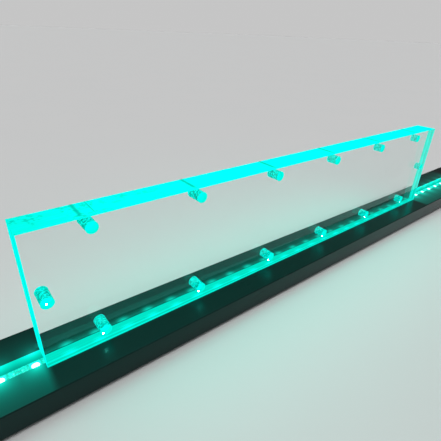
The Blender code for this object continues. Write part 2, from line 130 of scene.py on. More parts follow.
class Finish:
    """A material being made: its Principled shader, its nodes, and the place of each point in metres."""

    def __init__(self, name, **constants):
        self.material = bpy.data.materials.new(name)
        self.material.use_nodes = True
        self.tree = self.material.node_tree
        self.shader = self.tree.nodes["Principled BSDF"]
        self.output = self.tree.nodes["Material Output"]
        for socket, value in constants.items():
            self.set(socket, value)

    def set(self, name, value):
        """Gives one of the shader's sockets, written_like_this, a constant or a link."""
        self._feed(self.shader.inputs[name.replace("_", " ").title().replace("Ior", "IOR")], value)

    def _feed(self, socket, value):
        if isinstance(value, Field):
            value = value.socket
        if isinstance(value, bpy.types.NodeSocket):
            self.tree.links.new(value, socket)
        elif hasattr(socket.default_value, "__len__") and len(socket.default_value) == 4 and len(value) == 3:
            socket.default_value = (*value, 1.0)
        else:
            socket.default_value = value

    def node(self, kind, settings=None, inputs=None, output=0):
        """Adds a node: its settings first, then its sockets by name or number. Returns one of its outputs."""
        node = self.tree.nodes.new(kind)
        for name, value in (settings or {}).items():
            if name == "stops":
                self._set_stops(node.color_ramp, value)
            else:
                setattr(node, name, value)
        for name, value in (inputs or {}).items():
            self._feed(node.inputs[name], value)
        return node.outputs[output]

    def _set_stops(self, ramp, stops):
        while len(ramp.elements) < len(stops):
            ramp.elements.new(1.0)
        for element, (place, colour) in zip(ramp.elements, stops):
            element.position = place
            element.color = (*colour, 1.0)

    def maths(self, operation, *values):
        """One of the Math node's operations on fields and numbers."""
        inputs = dict(enumerate(values))
        return Field(self, self.node("ShaderNodeMath", {"operation": operation}, inputs))

    def place(self):
        """Each point's X, Y and Z in metres, as three fields."""
        where = self.node("ShaderNodeTexCoord", output="Object")
        parts = self.node("ShaderNodeSeparateXYZ", inputs={0: where}).node
        return [Field(self, socket) for socket in parts.outputs]

    def stretched(self, scale):
        """The place of each point with each axis scaled, so that a pattern can be longer one way."""
        where = self.node("ShaderNodeTexCoord", output="Object")
        return self.node("ShaderNodeMapping", inputs={"Vector": where, "Scale": scale})

    def noise(self, scale, stretch=(1, 1, 1), detail=3.0, roughness=0.5):
        """Cloudy noise from 0 to 1, in features of about one over scale, in metres."""
        inputs = {"Vector": self.stretched(stretch), "Scale": scale, "Detail": detail, "Roughness": roughness}
        return Field(self, self.node("ShaderNodeTexNoise", inputs=inputs))

    def ramp(self, value, low, high, to_low=0.0, to_high=1.0):
        """Smoothly from to_low, where the value is low, to to_high, where it is high."""
        settings = {"interpolation_type": "SMOOTHSTEP"}
        inputs = {"Value": value, "From Min": low, "From Max": high, "To Min": to_low, "To Max": to_high}
        return Field(self, self.node("ShaderNodeMapRange", settings, inputs))

    def mix(self, factor, first, second):
        """The first colour where the factor is 0, the second where it is 1."""
        inputs = {"Factor": factor, 6: first, 7: second}
        return self.node("ShaderNodeMix", {"data_type": "RGBA"}, inputs, output=2)

    def bump(self, height, distance, strength=1.0):
        """Makes the surface look uneven: distance, in metres, is how far a height of 1 stands out."""
        inputs = {"Height": height, "Distance": distance, "Strength": strength}
        self.set("Normal", self.node("ShaderNodeBump", inputs=inputs))

    def repeat(self, value, start, pitch):
        """How far a point is from the nearest of a row of marks, one at start and each a pitch apart."""
        return self.maths("PINGPONG", value - start, pitch / 2)

    def line(self, value, centre, reach):
        """1 where the value is centre, falling smoothly to 0 at reach on each side."""
        return self.ramp(abs(value - centre), 0.0, reach, 1.0, 0.0)

    def fade(self, distance, reach):
        """1 at no distance, falling to about a third at reach: e to the minus distance over reach."""
        return self.maths("EXPONENT", distance * (-1 / reach))

    def inside(self, value, low, high, soft):
        """1 between low and high, with an edge as wide as soft on each side."""
        rise = self.ramp(value, low - soft / 2, low + soft / 2)
        return rise * self.ramp(value, high - soft / 2, high + soft / 2, 1.0, 0.0)


def give(finish, *names):
    """Puts a finish on CAD solids."""
    for name in names:
        mesh = nodes[name].data
        mesh.materials.clear()
        mesh.materials.append(finish.material)


print("shader helpers ready")

# %% [markdown]
# ## The studio
# A pale floor runs out to a pale backdrop. The light comes from a broad soft patch overhead and a sun as
# wide as a cloudy one. The sides give little light, so that the black bar has something dark to reflect and
# the glowing edges still look bright.
#
# A plain backdrop stands in for that dark sky where the eye meets it, directly or through the clear panel.
# Light and reflections still come from the sky. The backdrop is as bright as the floor far away, which
# gives back the share `FLOOR_ALBEDO` of all that falls on it: twice the mean of the sky's brightness times
# its height, and the sun's. So the two meet almost without a line.
#
# The light that leaves the panel's two faces tints the floor beside it. Two lamps as large as the faces
# stand in for it, because a clear face can't be a light source itself.

# %% Floor, sky and lamps
FLOOR_REACH = 60.0
FLOOR_ALBEDO = 0.80
SKY_OVERHEAD = 1.50
SKY_DARK = 0.10
SUN_STRENGTH = 0.48
SUN_SLANT = radians(38)
SUN_WIDTH = radians(50)
GLOW_COLOUR = (0.0, 1.0, 0.70)
GLOW_POWER = 0.07
GLOW_DIP = 0.35  # how far the lamps' aim falls in a metre
FACE_GAP = 0.002
SKY_STOPS = [(0.0, SKY_DARK), (0.72, SKY_DARK), (0.90, SKY_OVERHEAD), (1.0, SKY_OVERHEAD)]

sine = np.linspace(0, 1, 400)
sky = np.interp(sine, *zip(*SKY_STOPS))
horizon = FLOOR_ALBEDO * (2 * np.mean(sky * sine) + SUN_STRENGTH * cos(SUN_SLANT) / pi)

pale = Finish("pale_floor", roughness=0.8, specular_ior_level=0.0)
floor_cloud = pale.noise(6.0, detail=2.0)
pale.set("base_color", pale.mix(floor_cloud, (0.79, 0.80, 0.80), (0.81, 0.81, 0.81)))

floor_mesh = bpy.data.meshes.new("floor")
corners = np.array([(-1, -1, 0), (1, -1, 0), (1, 1, 0), (-1, 1, 0)], float) * FLOOR_REACH
floor_mesh.from_pydata(corners.tolist(), [], [(0, 1, 2, 3)])
floor_mesh.materials.append(pale.material)
floor = bpy.data.objects.new("floor", floor_mesh)
bpy.context.scene.collection.objects.link(floor)

world = bpy.data.worlds.new("studio_air")
world.use_nodes = True
bpy.context.scene.world = world
air = world.node_tree
direction = air.nodes.new("ShaderNodeTexCoord").outputs["Generated"]
height = air.nodes.new("ShaderNodeSeparateXYZ")
air.links.new(direction, height.inputs[0])
shade = air.nodes.new("ShaderNodeValToRGB")
for _ in SKY_STOPS[2:]:
    shade.color_ramp.elements.new(0.5)
for element, (place, brightness) in zip(shade.color_ramp.elements, SKY_STOPS):
    element.position = place
    element.color = (brightness, brightness, brightness, 1.0)
air.links.new(height.outputs["Z"], shade.inputs["Fac"])


def sky_maths(operation, first, second):
    """A Math node in the world, of a socket and a socket or number."""
    node = air.nodes.new("ShaderNodeMath")
    node.operation = operation
    air.links.new(first, node.inputs[0])
    if isinstance(second, float):
        node.inputs[1].default_value = second
    else:
        air.links.new(second, node.inputs[1])
    return node.outputs[0]


path = air.nodes.new("ShaderNodeLightPath").outputs
unreflected = sky_maths("LESS_THAN", path["Glossy Depth"], 0.5)
through_panel = sky_maths("MULTIPLY", path["Is Transmission Ray"], unreflected)
backdrop = air.nodes.new("ShaderNodeMix")
backdrop.data_type = "RGBA"
backdrop.inputs[7].default_value = (horizon, horizon, horizon, 1.0)
air.links.new(sky_maths("MAXIMUM", path["Is Camera Ray"], through_panel), backdrop.inputs["Factor"])
air.links.new(shade.outputs["Color"], backdrop.inputs[6])
air.links.new(backdrop.outputs[2], air.nodes["Background"].inputs["Color"])


def add_lamp(name, kind, place, aim, power, **settings):
    """A lamp that faces a point."""
    data = bpy.data.lights.new(name, kind)
    data.energy = power
    for setting, value in settings.items():
        setattr(data, setting, value)
    lamp = bpy.data.objects.new(name, data)
    lamp.location = place
    lamp.rotation_euler = (Vector(aim) - Vector(place)).to_track_quat("-Z", "Y").to_euler()
    bpy.context.scene.collection.objects.link(lamp)
    return lamp


sun_from = Vector((-sin(SUN_SLANT) * 0.8, -sin(SUN_SLANT) * 0.6, cos(SUN_SLANT)))
add_lamp("soft_sun", "SUN", sun_from, (0, 0, 0), SUN_STRENGTH, angle=SUN_WIDTH)

panel_size = panel_high - panel_low
panel_middle = (panel_low + panel_high) / 2
glow_faces = (("front_glow", panel_low.y - FACE_GAP, -1), ("back_glow", panel_high.y + FACE_GAP, 1))
for name, y, ahead in glow_faces:
    place = Vector((panel_middle.x, y, panel_middle.z))
    glow_lamp = add_lamp(
        name, "AREA", place, place + Vector((0, ahead, -GLOW_DIP)), GLOW_POWER,
        shape="RECTANGLE", size=panel_size.x, size_y=panel_size.z, color=GLOW_COLOUR,
    )
    glow_lamp.visible_camera = False
    glow_lamp.visible_glossy = False
    glow_lamp.visible_transmission = False
bpy.context.scene.view_settings.view_transform = "Standard"
print(f"sky {horizon:.2f} at the horizon, {SKY_OVERHEAD:.2f} overhead")

# %% [markdown]
# ## Surfaces from grids
# Every new piece below is a grid: points worked out from two parameters as one numpy array, with a square
# between each four neighbours. `grid` gives such a surface, and `join` puts several together and makes the
# points that they share one, so that the result is closed.

# %% Grid helpers
WELD = 1e-7


def grid(points, wrap=False, finish=0):
    """Points of shape (rows, columns, 3) and the squares between them. Each square joins the points (i, j),
    (i, j+1), (i+1, j+1) and (i+1, j). With wrap, the last column is joined to the first."""
    rows, columns = points.shape[:2]
    index = np.arange(rows * columns).reshape(rows, columns)
    if wrap:
        index = np.concatenate([index, index[:, :1]], axis=1)
    four = [index[:-1, :-1], index[:-1, 1:], index[1:, 1:], index[1:, :-1]]
    squares = np.stack(four, axis=-1).reshape(-1, 4)
    return points.reshape(-1, 3), squares, np.full(len(squares), finish)


def flipped(surface):
    """The same surface facing the other way."""
    points, squares, finishes = surface
    return points, squares[:, ::-1], finishes


def join(surfaces):
    """Several surfaces as one, with the points that they share made one."""
    starts = np.cumsum([0] + [len(points) for points, _, _ in surfaces[:-1]])
    points = np.concatenate([points for points, _, _ in surfaces])
    squares = np.concatenate([squares + start for (_, squares, _), start in zip(surfaces, starts)])
    finishes = np.concatenate([finishes for _, _, finishes in surfaces])
    rounded = np.round(points / WELD).astype(np.int64)
    _, first, same = np.unique(rounded, axis=0, return_index=True, return_inverse=True)
    return points[first], same.reshape(-1)[squares], finishes


def add_piece(name, surface, finishes, body, smooth=None, replaces=()):
    """Puts a surface into a mesh and makes it a piece that rides on a body. Squares with two corners in one
    place become triangles, and smooth lists the finishes whose faces are shaded as round."""
    points, squares, numbers = surface
    repeated = squares == np.roll(squares, -1, axis=1)
    counts = 4 - repeated.sum(axis=1)
    kept = counts > 2
    squares, repeated, counts, numbers = squares[kept], repeated[kept], counts[kept], numbers[kept]
    mesh = bpy.data.meshes.new(name)
    mesh.vertices.add(len(points))
    mesh.vertices.foreach_set("co", points.astype(np.float32).ravel())
    loops = squares[~repeated]
    mesh.loops.add(len(loops))
    mesh.loops.foreach_set("vertex_index", loops.astype(np.int32))
    mesh.polygons.add(len(squares))
    mesh.polygons.foreach_set("loop_start", np.concatenate([[0], np.cumsum(counts)[:-1]]).astype(np.int32))
    mesh.polygons.foreach_set("material_index", numbers.astype(np.int32))
    rounded = np.isin(numbers, range(len(finishes)) if smooth is None else smooth)
    mesh.polygons.foreach_set("use_smooth", rounded)
    for finish in finishes:
        mesh.materials.append(finish.material)
    mesh.update(calc_edges=True)
    mesh.validate()
    piece = bpy.data.objects.new(name, mesh)
    bpy.context.scene.collection.objects.link(piece)
    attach(piece, body)
    if replaces:
        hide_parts(*replaces)
    print(f"{name}: {len(points)} points, {len(squares)} faces")


# %% [markdown]
# ## The clear panel's shape
# The panel is cast acrylic, sawn to size and drilled through fourteen times. Its corners and the holes'
# mouths have a fine arris, as every cut edge has once the burr is off. A Boolean would cut the holes, but
# leaves long thin triangles that bend what is seen through them. Here each face is laid out in cells. A
# cell with a hole is a grid that runs from a circle, the mouth, out to the cell's rectangle, and the other
# cells are plain grids with the same points on their sides, so everything meets.

# %% Cells of the panel's faces
ARRIS = 0.00015
ARRIS_STEPS = 2
HOLE_RADIUS = 0.0032
HOLES_IN_ROW = 6
TOP_HOLE_DROP = 0.0060
BOTTOM_HOLE_RISE = 0.0080
END_HOLE_INSET = 0.0065
CELL_ALONG = 20  # squares along a cell's long sides
CELL_UP = 12  # and up its short ones
SIDE_ARC = 0.62  # the share of half a circle that faces a cell's long side
OUT_STEPS = 4
OUT_GROWTH = 1.5  # above 1, the squares are closest together near the mouth

hole_pitch = panel_size.x / HOLES_IN_ROW
row_x = panel_low.x + hole_pitch * (np.arange(HOLES_IN_ROW) + 0.5)
end_x = np.array([panel_low.x + END_HOLE_INSET, panel_high.x - END_HOLE_INSET])
bottom_z = panel_low.z + BOTTOM_HOLE_RISE
top_z = panel_high.z - TOP_HOLE_DROP
end_z = panel_middle.z
column_edges = np.concatenate([
    [panel_low.x + ARRIS, 2 * end_x[0] - panel_low.x],
    (row_x[:-1] + row_x[1:]) / 2,
    [2 * end_x[1] - panel_high.x, panel_high.x - ARRIS],
])
row_edges = np.array([
    panel_low.z + ARRIS,
    2 * bottom_z - panel_low.z,
    2 * top_z - panel_high.z,
    panel_high.z - ARRIS,
])
hole_in_cell = {}
for column, x in enumerate(row_x):
    hole_in_cell[column + 1, 0] = (x, bottom_z)
    hole_in_cell[column + 1, 2] = (x, top_z)
hole_in_cell[0, 1] = (end_x[0], end_z)
hole_in_cell[HOLES_IN_ROW + 1, 1] = (end_x[1], end_z)


def rectangle_loop(x0, x1, z0, z1):
    """Points round a rectangle, evenly along each side, from its lower left corner."""
    along, up = CELL_ALONG, CELL_UP
    a = np.linspace(0, 1, along, endpoint=False)
    b = np.linspace(0, 1, up, endpoint=False)
    x = np.concatenate([x0 + (x1 - x0) * a, np.full(up, x1), x1 + (x0 - x1) * a, np.full(up, x0)])
    z = np.concatenate([np.full(along, z0), z0 + (z1 - z0) * b, np.full(along, z1), z1 + (z0 - z1) * b])
    return np.stack([x, z], axis=-1)


def hole_loop(x, z, radius):
    """Points round a circle, one for each of rectangle_loop's. Those on the rectangle's long sides share a
    wide arc and those on its short sides a narrow one, so that no square folds over."""
    side, end = pi * SIDE_ARC, pi * (1 - SIDE_ARC)
    a = np.linspace(0, 1, CELL_ALONG, endpoint=False)
    b = np.linspace(0, 1, CELL_UP, endpoint=False)
    start = -pi / 2 - side / 2
    angle = start + np.concatenate([side * a, side + end * b, pi + side * a, pi + side + end * b])
    return np.stack([x + radius * np.cos(angle), z + radius * np.sin(angle)], axis=-1)


def lift(loop, y):
    """A flat loop's points, with their depth."""
    return np.insert(loop, 1, y, axis=-1)


def face_cell(column, row, y):
    """One cell of the face at depth y: a grid between the mouth of its hole and its rectangle, closest
    together near the mouth, or a plain grid."""
    x0, x1 = column_edges[column : column + 2]
    z0, z1 = row_edges[row : row + 2]
    if (column, row) in hole_in_cell:
        x, z = hole_in_cell[column, row]
        inner = hole_loop(x, z, HOLE_RADIUS + ARRIS)
        outer = rectangle_loop(x0, x1, z0, z1)
        out = np.linspace(0, 1, OUT_STEPS)[:, None, None] ** OUT_GROWTH
        return grid(lift(inner + (outer - inner) * out, y), wrap=True)
    x, z = np.meshgrid(np.linspace(x0, x1, CELL_ALONG + 1), np.linspace(z0, z1, CELL_UP + 1))
    return flipped(grid(lift(np.stack([x, z], axis=-1), y)))


print(f"{len(hole_in_cell)} holes in {(len(column_edges) - 1) * (len(row_edges) - 1)} cells")

# %% [markdown]
# The arris is a quarter circle, and the same one runs round the holes' mouths and round the panel's rim.
# Each drilled wall and the whole rim are then a profile carried round a loop.

# %% Walls, rim and the whole panel
WALL_STEPS = 8
turn = np.linspace(0, pi / 2, ARRIS_STEPS + 1)
arris_out = ARRIS * (1 - np.sin(turn))
front_y, back_y = panel_low.y, panel_high.y
depths = np.concatenate([
    front_y + ARRIS * (1 - np.cos(turn)),
    np.linspace(front_y + ARRIS, back_y - ARRIS, WALL_STEPS + 1)[1:-1],
    (back_y - ARRIS * (1 - np.cos(turn)))[::-1],
])
spread = np.concatenate([arris_out, np.zeros(WALL_STEPS - 1), arris_out[::-1]])


def drilled_wall(x, z):
    """A hole's wall: its circle carried from front to back, wider by the arris at the mouths."""
    loops = [lift(hole_loop(x, z, HOLE_RADIUS + wider), y) for y, wider in zip(depths, spread)]
    return grid(np.array(loops), wrap=True, finish=2)


def panel_rim():
    """The sawn rim: the face's outline carried from front to back, grown outwards by the arris on the way."""
    columns, rows = len(column_edges) - 1, len(row_edges) - 1
    x = np.unique([np.linspace(*column_edges[i : i + 2], CELL_ALONG + 1) for i in range(columns)])
    z = np.unique([np.linspace(*row_edges[i : i + 2], CELL_UP + 1) for i in range(rows)])
    x = x[np.append(True, np.diff(x) > WELD)]
    z = z[np.append(True, np.diff(z) > WELD)]
    low = np.stack([x[:-1], np.full(len(x) - 1, z[0])], axis=-1)
    right = np.stack([np.full(len(z) - 1, x[-1]), z[:-1]], axis=-1)
    top = np.stack([x[:0:-1], np.full(len(x) - 1, z[-1])], axis=-1)
    left = np.stack([np.full(len(z) - 1, x[0]), z[:0:-1]], axis=-1)
    outline = np.concatenate([low, right, top, left])
    middle = (outline.max(0) + outline.min(0)) / 2
    half = (outline.max(0) - outline.min(0)) / 2
    loops = []
    for y, wider in zip(depths, spread):
        grown = middle + (outline - middle) * (half + ARRIS - wider) / half
        loops.append(lift(grown, y))
    return flipped(grid(np.array(loops), wrap=True, finish=1))


surfaces = [drilled_wall(*centre) for centre in hole_in_cell.values()] + [panel_rim()]
for column in range(len(column_edges) - 1):
    for row in range(len(row_edges) - 1):
        surfaces.append(flipped(face_cell(column, row, front_y)))
        surfaces.append(face_cell(column, row, back_y))
panel_surface = join(surfaces)
print("panel is", np.round(np.ptp(panel_surface[0], axis=0) * 1000, 2), "mm")

# %% [markdown]
# ## The panel's finishes
# The same block has several surfaces. The polished faces are clear, and bend what is seen through them as
# acrylic does, with an index of 1.49. The sawn rim is frosted: the light that travels inside the panel
# leaves there, so it glows. So do the drilled walls. Around each of them is a crazed skin, where the drill
# tore the plastic, and from inside the panel that skin looks grainy.
#
# Real glow would need very many light paths. A glow that is written into the finish is clean, and looks the
# same from every side. Each finish works out a level from 0 to 1, and the level darkens or brightens one
# light colour.

# %% Polished faces
ACRYLIC_IOR = 1.49
GLOW_STRENGTH = 1.15
GLOW_STOPS = [(0.0, (0, 0, 0)), (0.70, (0.0, 0.70, 0.52)), (1.0, (0.0, 1.0, 0.90))]

polished = Finish(
    "polished_acrylic", base_color=(0.93, 1.0, 0.985), transmission_weight=1.0, ior=ACRYLIC_IOR,
    specular_tint=(0.02, 1.0, 0.86),
)
wiped = polished.noise(45.0, stretch=(0.4, 1.0, 1.0), detail=4.0, roughness=0.6)
polished.set("roughness", polished.ramp(wiped, 0.55, 0.80, 0.0, 0.05))


def let_lamps_through(finish):
    """Rays from a surface towards a lamp pass straight through, so that the panel casts no dark shadow."""
    path = finish.tree.nodes.new("ShaderNodeLightPath")
    through = finish.node("ShaderNodeBsdfTransparent", inputs={"Color": (0.92, 0.99, 0.98)})
    soft_rays = finish.maths("MAXIMUM", path.outputs["Is Shadow Ray"], path.outputs["Is Diffuse Ray"])
    both = finish.node("ShaderNodeMixShader", inputs={0: soft_rays, 1: finish.shader.outputs[0], 2: through})
    finish.tree.links.new(both, finish.output.inputs["Surface"])


def glow_at(finish, level):
    """Makes a finish glow: black where the level is 0, then sea green, and cyan where it is 1."""
    finish.set("emission_color", finish.node("ShaderNodeValToRGB", {"stops": GLOW_STOPS}, {"Fac": level}))
    finish.set("emission_strength", GLOW_STRENGTH)


let_lamps_through(polished)
print("acrylic with an index of", ACRYLIC_IOR)

# %% [markdown]
# The rim glows by what is under it. Its top and ends send out the light that climbed the panel. Scuffs from
# handling dull the top near its left end, and each hole below throws two dark lines on it, the edges of its
# own shadow. The second line fades out towards the right. The underside shows through the panel: fine
# bright and dark lines run along it over the front ledge, each LED makes a soft spot over the groove, and
# the arris at the back gets little of the light, so it is painted in shade.

# %% Sawn rim
SHADOW_OFFSET = 0.0034
SPOT_REACH = 0.0062
TOP_LEVEL = 0.97
UNDER_LEVEL = 0.68
END_LEVEL = 0.74
LEFT_END_MORE = 0.14

sawn = Finish("sawn_edge", specular_ior_level=0.0)
x, y, z = sawn.place()
across = (y - panel_low.y) * (1 / panel_size.y)
top_side = z > panel_high.z - 2 * ARRIS
under_side = z < panel_low.z + 2 * ARRIS
right_end = x > panel_high.x - 2 * ARRIS
saw_lines = sawn.noise(900.0, stretch=(0.06, 1.0, 0.06), detail=2.0)

blots = sawn.ramp(sawn.noise(620.0, stretch=(0.8, 1.0, 1.0), detail=3.0), 0.48, 0.62)
worn = sawn.ramp(sawn.noise(95.0, detail=1.0), 0.44, 0.58)
left_part = sawn.ramp(x, panel_low.x + 0.02, panel_low.x + 0.11, 1.0, 0.0)
tired_end = sawn.ramp(x, panel_low.x, panel_low.x + 0.035, 1.0, 0.0)
scuffs = (blots * worn * left_part * 0.24 + tired_end * 0.10) * top_side
left_shadow = sawn.line(sawn.repeat(x, row_x[0] - SHADOW_OFFSET, hole_pitch), 0.0, 0.0017)
right_shadow = sawn.line(sawn.repeat(x, row_x[0] + SHADOW_OFFSET, hole_pitch), 0.0, 0.0006) * left_part
reach_back = sawn.ramp(across, 0.0, 0.35)
shadows = (left_shadow * 0.42 + right_shadow * 0.35) * reach_back * top_side

from_led = sawn.repeat(x, led_centres[0, 0], led_pitch)
lit_spots = sawn.line(from_led, 0.0, SPOT_REACH) * sawn.line(across, 0.42, 0.34)
lines = sawn.line(across, 0.09, 0.07) * 0.16 + sawn.line(across, 0.34, 0.09) * 0.16
lines = lines - sawn.line(across, 0.21, 0.07) * 0.10 - sawn.line(across, 0.48, 0.05) * 0.08
# painted shade: the arris at the back gets little of the LEDs' light
unlit_back_arris = sawn.ramp(across, 0.955, 0.98, 1.0, 0.05)
from_below = (lines + UNDER_LEVEL + lit_spots * 0.22) * unlit_back_arris
end_lines = sawn.line(across, 0.08, 0.10) * 0.16 + sawn.line(across, 0.62, 0.10) * 0.12
end_lines = end_lines - sawn.line(across, 0.36, 0.12) * 0.12
mottling = sawn.noise(160.0, detail=3.0) - 0.5
from_end = end_lines + END_LEVEL + (1 - right_end) * LEFT_END_MORE + mottling * 0.3
from_top = TOP_LEVEL - scuffs - shadows + mottling * 0.12

level = from_end + under_side * (from_below - from_end)
level = level + top_side * (from_top - level)
level = level + (saw_lines - 0.5) * 0.16
glow_at(sawn, level)
sawn.set("base_color", sawn.mix(saw_lines, (0.0, 0.030, 0.022), (0.003, 0.060, 0.045)))
sawn.set("roughness", saw_lines * 0.25 + 0.45)
sawn.bump(saw_lines, 0.00003)

# %% [markdown]
# From the air, a drilled wall is evenly bright, with faint rings, and a little brighter deeper in.

# %% Drilled walls
drilled = Finish("drilled_wall", specular_ior_level=0.0, base_color=(0.0, 0.05, 0.04))
_, y, _ = drilled.place()
rings = drilled.noise(650.0, stretch=(0.3, 3.0, 0.3), detail=2.0)
inwards = drilled.ramp(y, front_y, front_y + 0.007)
glow_at(drilled, (rings - 0.5) * 0.5 + 0.80 + inwards * 0.16)
drilled.set("roughness", rings * 0.3 + 0.40)
drilled.bump(rings, 0.00004)

add_piece(
    "clear_panel", panel_surface, [polished, sawn, drilled], "panel",
    smooth=[2], replaces=["light_panel"],
)

# %% [markdown]
# ## The crazed skins
# Each skin is a tube a few hundredths of a millimetre thick, just inside the plastic round a hole. Its
# section, a thin rectangle, is carried round the hole's circle.

# %% Crazed skins round the holes
SKIN_GAP = 0.00003
SKIN_THICKNESS = 0.00004
SKIN_DEPTHS = 7


def crazed_skin(x, z):
    """A closed tube: out along the wall at one radius and back at a slightly larger one."""
    low, high = front_y + ARRIS, back_y - ARRIS
    there = np.linspace(low, high, SKIN_DEPTHS)
    depth = np.concatenate([there, there[::-1], there[:1]])
    inner = HOLE_RADIUS + SKIN_GAP
    radius = np.repeat([inner, inner + SKIN_THICKNESS, inner], [SKIN_DEPTHS, SKIN_DEPTHS, 1])
    loops = [lift(hole_loop(x, z, r), y) for r, y in zip(radius, depth)]
    return grid(np.array(loops), wrap=True)


crazed = Finish("crazed_acrylic", specular_ior_level=0.0, base_color=(0.0, 0.03, 0.02), roughness=0.7)
_, y, z = crazed.place()
grains = crazed.noise(800.0, detail=3.0, roughness=0.8)
drill_rings = crazed.noise(520.0, stretch=(0.15, 3.0, 0.15), detail=1.0)
dark_grain = crazed.ramp(grains, 0.44, 0.52, 1.0, 0.0)
light_grain = crazed.ramp(grains, 0.53, 0.61)
rows = (bottom_z, end_z, top_z)
# Painted light on each skin: a bright line low on it, where the LEDs' light falls from below, and painted
# highlights along its upper edge and round its far end.
lit_underside = sum(crazed.line(z, row - HOLE_RADIUS, 0.0013) for row in rows)
above = sum(crazed.line(z, row + HOLE_RADIUS, 0.0007) for row in rows)
far_end_highlight = crazed.ramp(y, back_y - 0.0009, back_y - 0.0003)
outline = crazed.maths("MAXIMUM", far_end_highlight, lit_underside * 0.8 + above * 0.5)
grain_level = (drill_rings - 0.5) * 0.30 + 0.74 - dark_grain * 0.52 + light_grain * 0.32
glow_at(crazed, grain_level + outline * 0.30)
skins = join([crazed_skin(*centre) for centre in hole_in_cell.values()])
add_piece("crazed_bores", skins, [crazed], "panel")

# %% [markdown]
# The white sparkles are painted glints: tiny beads that glow white-hot low in each bottom and end hole, just
# inside its mouth. They are so bright that the black bar mirrors them.

# %% Painted glints
GLINT_BEAD_RADIUS = 0.00045
GLINT_BEAD_FLATNESS = 0.45  # its width along Y as a share of its width along X
GLINT_STRENGTH = 110.0
GLINT_SLANT = radians(38)  # from straight down, to the left
GLINT_DEPTH = 0.0006  # behind the panel's front, in the bottom holes
END_GLINT_DEPTH = 0.0034  # and in the end holes


def glint_bead(centre, radius, rings=6, around=10):
    """A small flattened ball: its radius swells and shrinks as a sine from pole to pole."""
    up = np.linspace(0, pi, rings)[:, None]
    turn = np.linspace(0, 2 * pi, around, endpoint=False)[None, :]
    x = np.sin(up) * np.cos(turn)
    y = GLINT_BEAD_FLATNESS * np.sin(up) * np.sin(turn)
    z = -np.cos(up) + 0 * turn
    return grid(np.array(centre) + radius * np.stack([x, y, z], axis=-1), wrap=True)


# Painted glints: beads that glow white-hot where each mouth's arris catches the LEDs' light.
glint_finish = Finish("painted_glint", base_color=(0.8, 1.0, 0.95), roughness=0.5)
glint_grain = glint_finish.noise(2500.0)
glint_finish.set("emission_color", glint_finish.mix(glint_grain, (0.12, 1.0, 0.80), (0.30, 1.0, 0.90)))
glint_finish.set("emission_strength", GLINT_STRENGTH)
lip = HOLE_RADIUS - GLINT_BEAD_RADIUS * 0.8
low_left = lip * np.array([-sin(GLINT_SLANT), -cos(GLINT_SLANT)])
places = [(x + low_left[0], front_y + GLINT_DEPTH, bottom_z + low_left[1]) for x in row_x]
places += [(x, front_y + END_GLINT_DEPTH, end_z - lip) for x in end_x]
glint_beads = join([glint_bead(place, GLINT_BEAD_RADIUS) for place in places])
add_piece("painted_glints", glint_beads, [glint_finish], "panel")

# %% [markdown]
# ## The bar
# The bar is a black anodised extrusion, satin and almost black. Its die leaves faint lines along it, and
# handling leaves a slight haze. The groove's walls stand right beside the LEDs, so they are lit, brightest
# at the top. Where no panel covers the groove, light also spills on the ledges, most beside each LED.
# Behind the panel, each LED throws a small fan of light on the back ledge.

# %% Anodised bar
TAPE_CLEARANCE = 0.0005
SKIM = 0.00002  # what is this close to the bar's top counts as its top
WINDOW_REACH = 0.0032
SPILL_REACH = 0.016
FAN_ALONG = 0.0052
FAN_BACK = 0.0050

anodised = Finish("black_anodised", specular_ior_level=0.34, specular_tint=(0.20, 0.95, 0.85))
x, y, z = anodised.place()
groove_middle = (bar_low.y + bar_high.y) / 2
groove_half = (tape_high.y - tape_low.y) / 2 + TAPE_CLEARANCE
die_lines = anodised.noise(600.0, stretch=(0.008, 1.0, 1.0), detail=2.0)
haze = anodised.noise(22.0, detail=3.0, roughness=0.6)
anodised.set("base_color", anodised.mix(haze, (0.0025, 0.0032, 0.0032), (0.0045, 0.0055, 0.0053)))
anodised.set("roughness", die_lines * 0.04 + haze * 0.06 + 0.24)
anodised.bump(die_lines, 0.000002, 0.5)

from_led = anodised.repeat(x, led_centres[0, 0], led_pitch)
by_led = anodised.line(from_led, 0.0, led_pitch / 2)
along_tape = anodised.inside(x, tape_low.x, tape_high.x, 0.012)
beyond = abs(y - groove_middle) - groove_half
in_groove = (beyond < 0.0002) * (z < bar_high.z - SKIM) * (z > tape_low.z - 0.0006)
up_wall = anodised.ramp(z, tape_low.z, bar_high.z, 0.42, 0.94)
wall_level = in_groove * (up_wall * (by_led * 0.25 + 0.75))

on_top = (z > bar_high.z - SKIM) * along_tape
covered = anodised.inside(x, panel_low.x, panel_high.x, 0.005)
in_front = y < groove_middle
from_window = anodised.maths("SQRT", from_led * from_led + beyond * beyond)
spill = anodised.fade(from_window, WINDOW_REACH) * 0.75 + anodised.fade(beyond, SPILL_REACH) * 0.20
spill = spill * (in_front * 0.75 + 0.25)
behind = y - panel_high.y
fans = anodised.line(from_led, 0.0, FAN_ALONG) * 0.50 + 0.13
fans = fans * anodised.line(behind, 0.0, FAN_BACK) * (behind > -0.0005)
ledge_level = (1 - covered) * spill + covered * (fans + 0.014)
glow_at(anodised, wall_level * along_tape + on_top * ledge_level)
give(anodised, "base_bar")
print("bar finish made")

# %% Moulded caps, steel, rubber and leads
moulded = Finish("black_moulded", specular_ior_level=0.4)
grain = moulded.noise(2500.0, detail=2.0)
moulded.set("base_color", moulded.mix(grain, (0.012, 0.012, 0.013), (0.022, 0.022, 0.024)))
moulded.set("roughness", grain * 0.2 + 0.38)
moulded.bump(grain, 0.00004)
give(moulded, "end_cap_left", "end_cap_right", "power_socket")

steel = Finish("black_steel", metallic=0.9)
brushing = steel.noise(3000.0, detail=1.0)
steel.set("base_color", steel.mix(brushing, (0.05, 0.05, 0.052), (0.09, 0.09, 0.093)))
steel.set("roughness", brushing * 0.2 + 0.25)
give(steel, *[name for name in nodes if name.startswith("cap_screw")])

